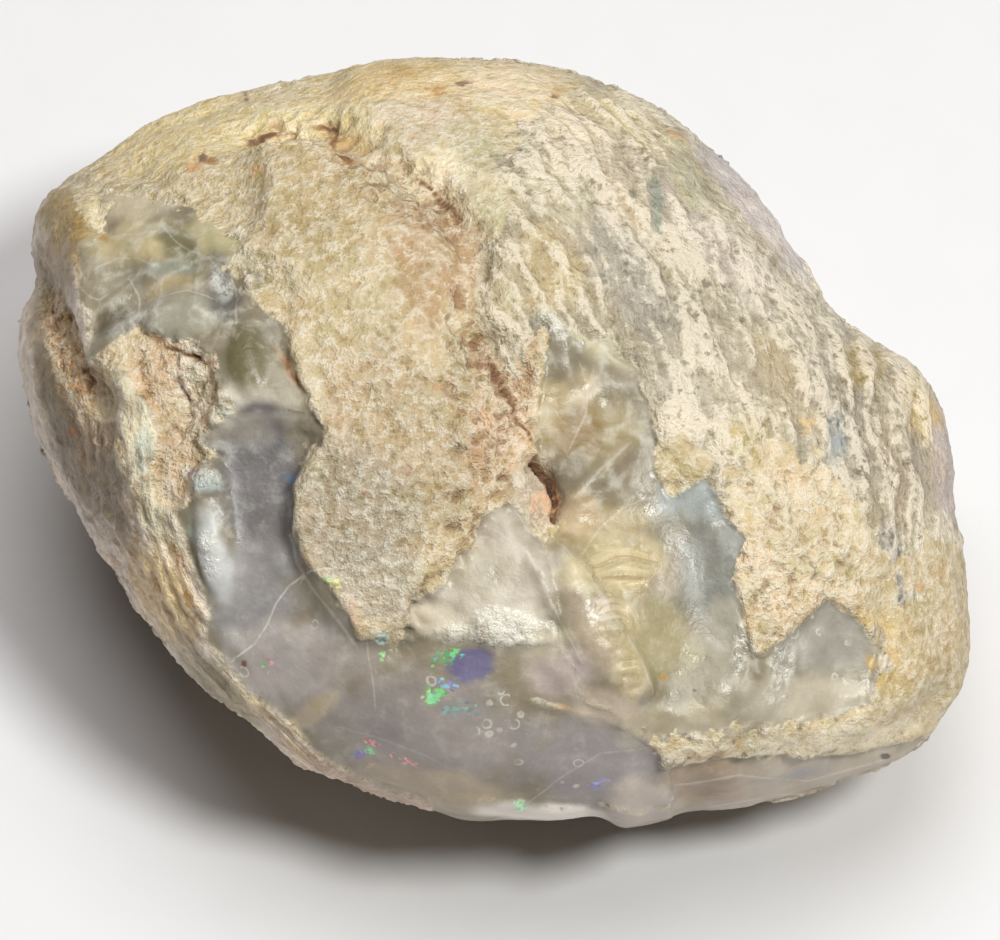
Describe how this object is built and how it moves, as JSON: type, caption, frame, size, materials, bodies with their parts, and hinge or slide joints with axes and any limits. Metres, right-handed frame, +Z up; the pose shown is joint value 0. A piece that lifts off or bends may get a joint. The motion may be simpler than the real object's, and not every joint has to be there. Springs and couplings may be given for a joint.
{
  "type": "opalized fossil shell",
  "caption": "Opalized clam fossil with closed valves, part sandy matrix and part translucent opal, lying on its lower valve.",
  "frame": {"origin": "centre of the bounding box at the level of the resting flat", "axes": "+Z up from the resting flat, +X along the length of the shell away from its umbos, +Y towards the back, away from the broad broken face"},
  "size_m": [0.0454, 0.0412, 0.0268],
  "materials": {
    "opalized_shell": "cream sandy crust and chalky growth lines, with smooth glossy windows of grey, olive and mauve opal"
  },
  "bodies": {
    "root": {"fossil_shell": "opalized_shell"}
  },
  "joints": []
}
